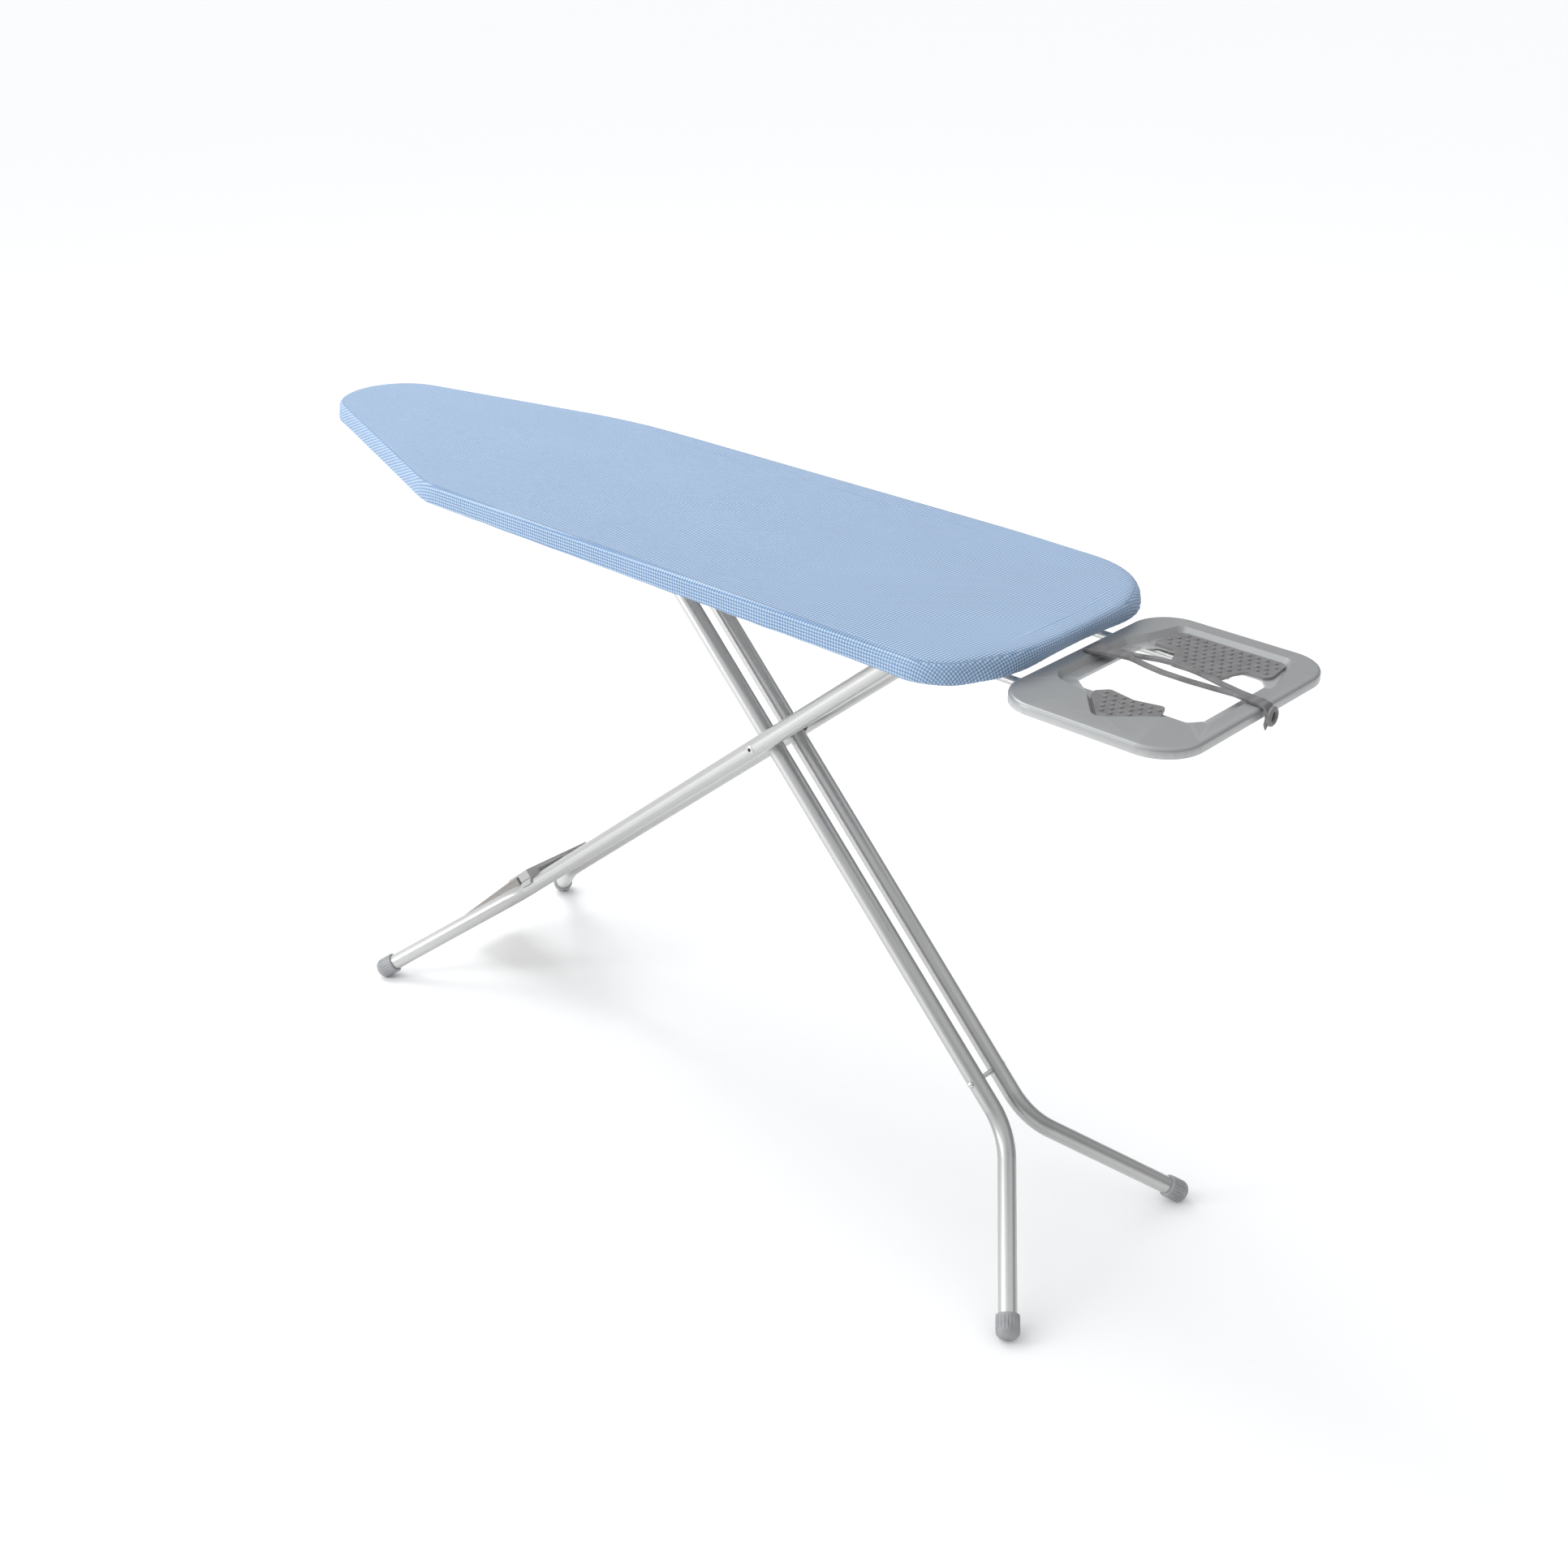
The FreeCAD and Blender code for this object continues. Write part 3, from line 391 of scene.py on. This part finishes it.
def roll_over(vert, out, inside, drop, less):
    """Bring a vertex in onto the rolled edge of the top, which grows fuller towards the wide end."""
    radius = CREASE_R + (CREASE_R_END - CREASE_R) * smooth_step(0.26, 0.44, vert.co.x) - less
    over, down = radius - inside, radius - drop
    reach = math.hypot(over, down)
    if over > 0 and down > 0 and reach > radius:
        vert.co -= out * over * (1 - radius / reach)
        vert.co.z -= down * (1 - radius / reach)


def rounded_rim(bm, face, radius, segments):
    """Round the edge between one end face and the sides."""
    bmesh.ops.bevel(bm, geom=face.edges[:], offset=radius, offset_type="OFFSET", segments=segments,
                    profile=0.5, affect="EDGES", material=-1, clamp_overlap=False)


# ---- cover ---------------------------------------------------------------
def outline_frame(node, height):
    """Where a node's edge is: a search tree, its points, outward directions and how sharply it turns."""
    bm = edge_ring(node, height)
    bm.verts.index_update()
    start = max(bm.verts, key=lambda v: v.co.x)
    ring, last = [start], None
    while True:
        beside = [edge.other_vert(ring[-1]) for edge in ring[-1].link_edges]
        there = next(vert for vert in beside if vert is not last)
        if there is start:
            break
        last = ring[-1]
        ring.append(there)
    points = [v.co.copy() for v in ring]
    bm.free()
    count = len(points)
    outward, turning, along, walked = [], [], [], 0.0
    for i, here in enumerate(points):
        reach = points[(i + 2) % count] - points[i - 2]
        out = Vector((reach.y, -reach.x, 0)).normalized()
        core = Vector((0.2 if here.x > 0.2 else -0.5, 0, here.z))
        outward.append(out if out.dot(here - core) > 0 else -out)
        before, after = points[i - 5] - points[i - 10], points[(i + 10) % count] - points[(i + 5) % count]
        turning.append(before.angle(after))
        along.append(walked)
        walked += (points[(i + 1) % count] - here).length
    tree = kdtree.KDTree(count)
    for i, here in enumerate(points):
        tree.insert(here, i)
    tree.balance()
    return tree, points, outward, turning, along


def make_cover(material):
    """Cotton cover: smooth top, soft crease, gathered skirt and a tucked hem."""
    top_z, low_z = cover_high.z - CLOTH / 2, cover_low.z + CLOTH / 2
    middle = (top_z + low_z) / 2
    tree, points, outward, turning, along = outline_frame("cover", middle)
    bm, top, bottom = slab("cover", middle, low_z, top_z)
    rounded_rim(bm, top, 0.0055, 5)
    rounded_rim(bm, bottom, 0.0025, 3)
    sides = [e for e in bm.edges if abs(e.verts[0].co.z - e.verts[1].co.z) > 0.010]
    bmesh.ops.subdivide_edges(bm, edges=sides, cuts=7, use_grid_fill=True)
    for step in (0.004, 0.006, 0.010, 0.016):
        lid = max(bm.faces, key=lambda x: x.calc_area() + x.calc_center_median().z)
        bmesh.ops.inset_region(bm, faces=[lid], thickness=step, use_even_offset=True)
    lid = max(bm.faces, key=lambda x: x.calc_area() + x.calc_center_median().z)
    floor = max(bm.faces, key=lambda x: x.calc_area() - 10 * x.calc_center_median().z)
    for step in (0.004, 0.005, 0.005, 0.006):
        bmesh.ops.inset_region(bm, faces=[floor], thickness=step, use_even_offset=True)
    bmesh.ops.delete(bm, geom=[floor], context="FACES_ONLY")
    cloth = [lid]
    for axis, low, high in ((0, cover_low.x, cover_high.x), (1, cover_low.y, cover_high.y)):
        count = int((high - low) / 0.018)
        for k in range(1, count):
            where, facing = [0, 0, 0], [0, 0, 0]
            where[axis], facing[axis] = low + (high - low) * k / count, 1
            cloth = [x for x in cloth if x.is_valid]
            edges, corners = {e for x in cloth for e in x.edges}, {v for x in cloth for v in x.verts}
            parts = cloth + list(edges) + list(corners)
            made = bmesh.ops.bisect_plane(bm, geom=parts, plane_co=where, plane_no=facing)["geom"]
            cloth = [g for g in made if isinstance(g, bmesh.types.BMFace)]
    flat_cloth = bm.loops.layers.uv.new("flat_cloth")
    spread = {}
    for vert in bm.verts:
        here = vert.co.copy()
        _, i, _ = tree.find((here.x, here.y, middle))
        out = outward[i]
        inside = max(0.0, -(here - points[i]).dot(out))
        drop = top_z - here.z
        if drop < 1e-4:
            flat = here.copy()
        elif here.z - low_z < 1e-4:
            flat = points[i] + out * (COVER_DROP + inside)
        else:
            flat = points[i] + out * drop + (here - points[i] - out * (here - points[i]).dot(out))
        spread[vert] = (flat.x, flat.y)
        roll_over(vert, out, inside, drop, 0.0)
        depth = min(1.0, max(0.0, (drop - 0.004) / 0.018))
        blend = depth * depth * (3 - 2 * depth)
        gather = 0.12 + min(1.0, turning[i] * 1.7) * 0.85 + (0.28 if out.x > 0.9 else 0.0)
        s = along[i] + (here - points[i]).dot(Vector((-out.y, out.x, 0)))
        folds = (0.55 * math.sin(2 * math.pi * s / 0.0118 + 2.1 * math.sin(s * 31))
                 + 0.30 * math.sin(2 * math.pi * s / 0.0071 + 1.7 * math.sin(s * 53 + 1))
                 + 0.5 * noise.noise((s * 42, drop * 40, 0)))
        if drop > 1e-4:
            tucked = min(1.0, inside / 0.004) if here.z - low_z < 1e-4 else 0.0
            push = (0.0012 + 0.0011 * folds) * gather * blend * (1 - tucked)
            vert.co += out * push
            vert.co.z += (0.0011 * noise.noise((s * 26, 3, 0)) + 0.0007 * folds * gather) * blend
        calm = min(1.0, inside / 0.03)
        if drop < 1e-4:
            vert.co.z += calm * (0.0005 * noise.noise((here.x * 9, here.y * 14, 5))
                                 + 0.00025 * noise.noise((here.x * 31, here.y * 37, 8))) - 0.0003 * calm
    for face in bm.faces:
        for loop in face.loops:
            loop[flat_cloth].uv = spread[loop.vert]
    lean_end(bm, middle)
    piece = finished("cotton_cover", bm, material)
    thick = piece.modifiers.new("cloth", "SOLIDIFY")
    thick.thickness, thick.offset = CLOTH, 0
    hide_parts("cover")
    return piece


def make_hem(material):
    """The hem's gathered casing, with the elastic inside it."""
    height = (hem_low.z + hem_high.z) / 2
    bm = edge_ring("hem_elastic", height)
    mesh = bpy.data.meshes.new("hem_path")
    bm.to_mesh(mesh)
    bm.free()
    holder = bpy.data.objects.new("hem_path", mesh)
    scene.collection.objects.link(holder)
    with bpy.context.temp_override(object=holder, active_object=holder, selected_objects=[holder],
                                   selected_editable_objects=[holder]):
        bpy.ops.object.convert(target="CURVE")
    curve = holder.data
    curve.bevel_depth, curve.bevel_resolution = 0.0026, 2
    dg = bpy.context.evaluated_depsgraph_get()
    tube = bpy.data.meshes.new_from_object(holder.evaluated_get(dg))
    bpy.data.objects.remove(holder)
    bm = bmesh.new()
    bm.from_mesh(tube)
    bmesh.ops.remove_doubles(bm, verts=bm.verts, dist=1e-5)
    hem_z = cover_low.z - 0.0012
    for vert in bm.verts:
        x, y, z = vert.co
        puff = noise.noise((x * 150, y * 150, 0)) * 0.0009 + noise.noise((x * 60, y * 60, 4)) * 0.0006
        wander = Vector((noise.noise((x * 110, y * 110, 9)), noise.noise((x * 110, y * 110, 2)), 0))
        vert.co += wander * 0.0008
        vert.co.z = hem_z + (z - height) * 0.62 + puff
    piece = finished("gathered_hem", bm, material)
    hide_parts("hem_elastic")
    return piece


def make_pad(material):
    """Felt and foam pad under the cover, with soft edges and a slight crown."""
    middle = (foam_low.z + foam_high.z) / 2
    bm, top, bottom = slab("foam_pad", middle, foam_low.z, foam_high.z - PAD_GAP)
    rounded_rim(bm, top, 0.0040, 4)
    rounded_rim(bm, bottom, 0.0015, 2)
    for side in (1, -1):
        for step in (0.010, 0.020, 0.030):
            face = max(bm.faces, key=lambda x: x.calc_area() + side * x.calc_center_median().z)
            bmesh.ops.inset_region(bm, faces=[face], thickness=step, use_even_offset=True)
    tree, points, outward, _, _ = outline_frame("foam_pad", middle)
    for vert in bm.verts:
        here = vert.co.copy()
        _, i, _ = tree.find((here.x, here.y, middle))
        inside = max(0.0, -(here - points[i]).dot(outward[i]))
        roll_over(vert, outward[i], inside, foam_high.z - PAD_GAP - here.z, 0.0012)
        if here.z > middle:
            vert.co.z += 0.0003 * noise.noise((here.x * 25, here.y * 25, 0))
    lean_end(bm, middle)
    piece = finished("felt_pad", bm, material)
    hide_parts("foam_pad")
    return piece


# ---- hold strap ----------------------------------------------------------
def section(place, heading, half_width, half_thick):
    """Matrix that sets a unit cross-section at a place, facing along its heading."""
    ahead = Vector(heading).normalized()
    side = Vector((0, 0, 1)).cross(ahead)
    side = Vector((0, 1, 0)) if side.length < 0.2 else side.normalized()
    turn = Matrix((ahead, side, ahead.cross(side))).transposed().to_4x4()
    return Matrix.Translation(place) @ turn @ Matrix.Diagonal((1, half_width, half_thick, 1))


def half_of(whole, side):
    """The near (-1) or far (1) half of a section."""
    return whole @ Matrix.Translation((0, side / 2, 0)) @ Matrix.Diagonal((1, 0.5, 1, 1))


def carry(bm, faces, old, stations):
    """Extrude end faces through a run of sections; gives the new end faces."""
    for new in stations:
        made = bmesh.ops.extrude_face_region(bm, geom=faces)["geom"]
        faces = [g for g in made if isinstance(g, bmesh.types.BMFace)]
        corners = list({v for face in faces for v in face.verts})
        bmesh.ops.transform(bm, matrix=new @ old.inverted(), verts=corners)
        old = new
    return faces


def halves(faces):
    """End faces sorted from near to far."""
    return sorted(faces, key=lambda face: face.calc_center_median().y)


def make_strap(material):
    """Silicone strap: a band that parts in two over the opening, joins again and hooks over the rim."""
    x, edge, rim, half = REST_MIDDLE, rest_high.x, rest_high.z, 0.0019
    level = strap_high.z - half
    bm = bmesh.new()
    bmesh.ops.create_grid(bm, x_segments=1, y_segments=2, size=1)
    bmesh.ops.rotate(bm, verts=bm.verts, matrix=Matrix.Rotation(math.radians(90), 3, "Y"))
    start = section((x - 0.1025, 0.0098, level - 0.0006), (1, 0, 0), 0.0105, half * 0.8)
    bmesh.ops.transform(bm, matrix=start, verts=bm.verts)
    parting = section((x - 0.054, 0.0168, level), (1, 0.16, 0), 0.0078, half)
    faces = carry(bm, bm.faces[:], start, [
        section((x - 0.100, 0.0098, level), (1, 0, 0), 0.0125, half),
        section((x - 0.092, 0.0105, level), (1, 0.1, 0), 0.0128, half),
        section((x - 0.080, 0.0130, level), (1, 0.2, 0), 0.0098, half),
        section((x - 0.066, 0.0152, level), (1, 0.18, 0), 0.0082, half), parting])
    joined = section((x + 0.076, 0.0118, level), (1, -0.10, 0), 0.0070, half)
    ends = halves(faces)
    near = carry(bm, [ends[0]], half_of(parting, -1), [
        section((x - 0.046, 0.0118, level), (1, -0.12, 0), 0.0035, half),
        section((x - 0.030, 0.0078, level), (1, -0.20, 0), 0.0034, half),
        section((x - 0.008, 0.0044, level), (1, -0.06, 0), 0.0034, half),
        section((x + 0.022, 0.0040, level), (1, 0.03, 0), 0.0033, half),
        section((x + 0.052, 0.0060, level), (1, 0.09, 0), 0.0033, half), half_of(joined, -1)])
    far = carry(bm, [ends[1]], half_of(parting, 1), [
        section((x - 0.044, 0.0245, level), (1, 0.40, 0), 0.0036, half),
        section((x - 0.028, 0.0298, level), (1, 0.24, 0), 0.0035, half),
        section((x - 0.008, 0.0325, level), (1, 0.00, 0), 0.0034, half),
        section((x + 0.022, 0.0282, level), (1, -0.20, 0), 0.0033, half),
        section((x + 0.052, 0.0206, level), (1, -0.26, 0), 0.0033, half), half_of(joined, 1)])
    bmesh.ops.remove_doubles(bm, verts=list({v for face in near + far for v in face.verts}), dist=2e-5)
    tail = section((edge + 0.0062, 0.0068, rim - 0.0125), (-0.05, 0, -1), 0.0068, half)
    faces = carry(bm, near + far, joined, [
        section((edge - 0.018, 0.0096, level), (1, -0.08, 0), 0.0072, half),
        section((edge - 0.006, 0.0086, level + 0.0003), (1, -0.05, -0.05), 0.0070, half),
        section((edge + 0.0022, 0.0080, level - 0.0014), (1, 0, -0.7), 0.0070, half),
        section((edge + 0.0052, 0.0076, level - 0.0062), (0.25, 0, -1), 0.0070, half),
        section((edge + 0.0064, 0.0072, rim - 0.0085), (0.03, 0, -1), 0.0070, half), tail])
    ends = halves(faces)
    for end, side in ((ends[0], -1), (ends[1], 1)):
        y = 0.0068 + side * 0.0048
        carry(bm, [end], half_of(tail, side), [
            section((edge + 0.0060, y, rim - 0.0150), (0, 0, -1), 0.0030, half * 0.9),
            section((edge + 0.0068, y + side * 0.0016, rim - 0.0175), (0.2, 0, -1), 0.0019, half * 0.7),
            section((edge + 0.0078, y + side * 0.0034, rim - 0.0202), (0.2, 0, -1), 0.0006, 0.0005)])
    sharp = [e for e in bm.edges if len(e.link_faces) == 2 and e.calc_face_angle(0) > math.radians(50)]
    bmesh.ops.bevel(bm, geom=sharp, offset=0.0008, offset_type="OFFSET", segments=2, profile=0.5,
                    affect="EDGES", material=-1, clamp_overlap=True)
    strap = finished("hold_strap_band", bm, material)
    soften(strap, 1)

    bm = bmesh.new()
    centre = Vector((edge + 0.0092, 0.0070, rim - 0.0075))
    bmesh.ops.create_circle(bm, segments=12, radius=0.0026, matrix=Matrix.Translation(
        centre + Vector((0, 0.0068, 0))))
    bmesh.ops.spin(bm, geom=bm.edges[:], cent=centre, axis=(1, 0, 0), angle=2 * math.pi, steps=32,
                   use_merge=True)
    for vert in bm.verts:
        vert.co.z = centre.z + (vert.co.z - centre.z) * 1.15
    ring = finished("hold_strap_ring", bm, material)
    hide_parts("hold_strap")


def soften(piece, levels):
    """Smooth a piece with a live subdivision surface."""
    smooth = piece.modifiers.new("soft", "SUBSURF")
    smooth.levels = smooth.render_levels = levels


# ---- build ---------------------------------------------------------------
make_camera()

cotton = checked_cotton("checked_cotton")
# The hem's cotton is the cover's cotton with painted shade, darker for the hem under the board's edge.
hem_cotton_painted_shade = checked_cotton("hem_cotton_painted_shade", 0.92)
grey_felt = felt("grey_felt", (0.62, 0.61, 0.58), (0.44, 0.43, 0.41))
finishes = {
    "cotton": cotton,
    "felt": grey_felt,
    "elastic": hem_cotton_painted_shade,
    "galvanised_steel": zinc("zinc_sheet"),
    "bright_steel": bright_steel("bright_steel"),
    "tube_paint": painted_steel("silver_tube_paint", (0.47, 0.47, 0.465), (0.41, 0.41, 0.405),
                                0.90, 0.34, 0.0035),
    "rest_paint": painted_steel("silver_tray_paint", (0.37, 0.38, 0.385), (0.30, 0.305, 0.31),
                                0.45, 0.40, 0.003),
    "silicone": moulded("grey_silicone", (0.195, 0.190, 0.194), (0.160, 0.156, 0.160), 0.50, 0.0014),
    "grey_plastic": moulded("grey_foot_rubber", (0.33, 0.335, 0.345), (0.27, 0.275, 0.285), 0.50),
    "black_plastic": moulded("dark_plastic", (0.045, 0.045, 0.048), (0.028, 0.028, 0.030), 0.48),
}
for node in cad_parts.values():
    for i, packed in enumerate(node.data.materials):
        node.data.materials[i] = finishes[packed.name.split(".")[0]]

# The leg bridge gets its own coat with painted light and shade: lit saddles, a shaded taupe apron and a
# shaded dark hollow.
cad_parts["leg_bridge"].data.materials[0] = bridge_coat_painted_shade("bridge_coat_painted_shade")

cover = make_cover(cotton)
hem = make_hem(hem_cotton_painted_shade)
pad = make_pad(grey_felt)
make_strap(finishes["silicone"])

floor_bm = bmesh.new()
bmesh.ops.create_grid(floor_bm, x_segments=1, y_segments=1, size=40)
floor_mesh = bpy.data.meshes.new("floor")
floor_bm.to_mesh(floor_mesh)
floor_bm.free()
floor = bpy.data.objects.new("floor", floor_mesh)
scene.collection.objects.link(floor)
paper = Finish("pale_paper", Roughness=0.9, Specular_IOR_Level=0.1)
floor_mesh.materials.append(paper.finish(paper.mix(paper.cloud(paper.place(), 0.4) * 0.2,
                                                   (0.97, 0.97, 0.97), (0.95, 0.95, 0.948))))

make_studio()
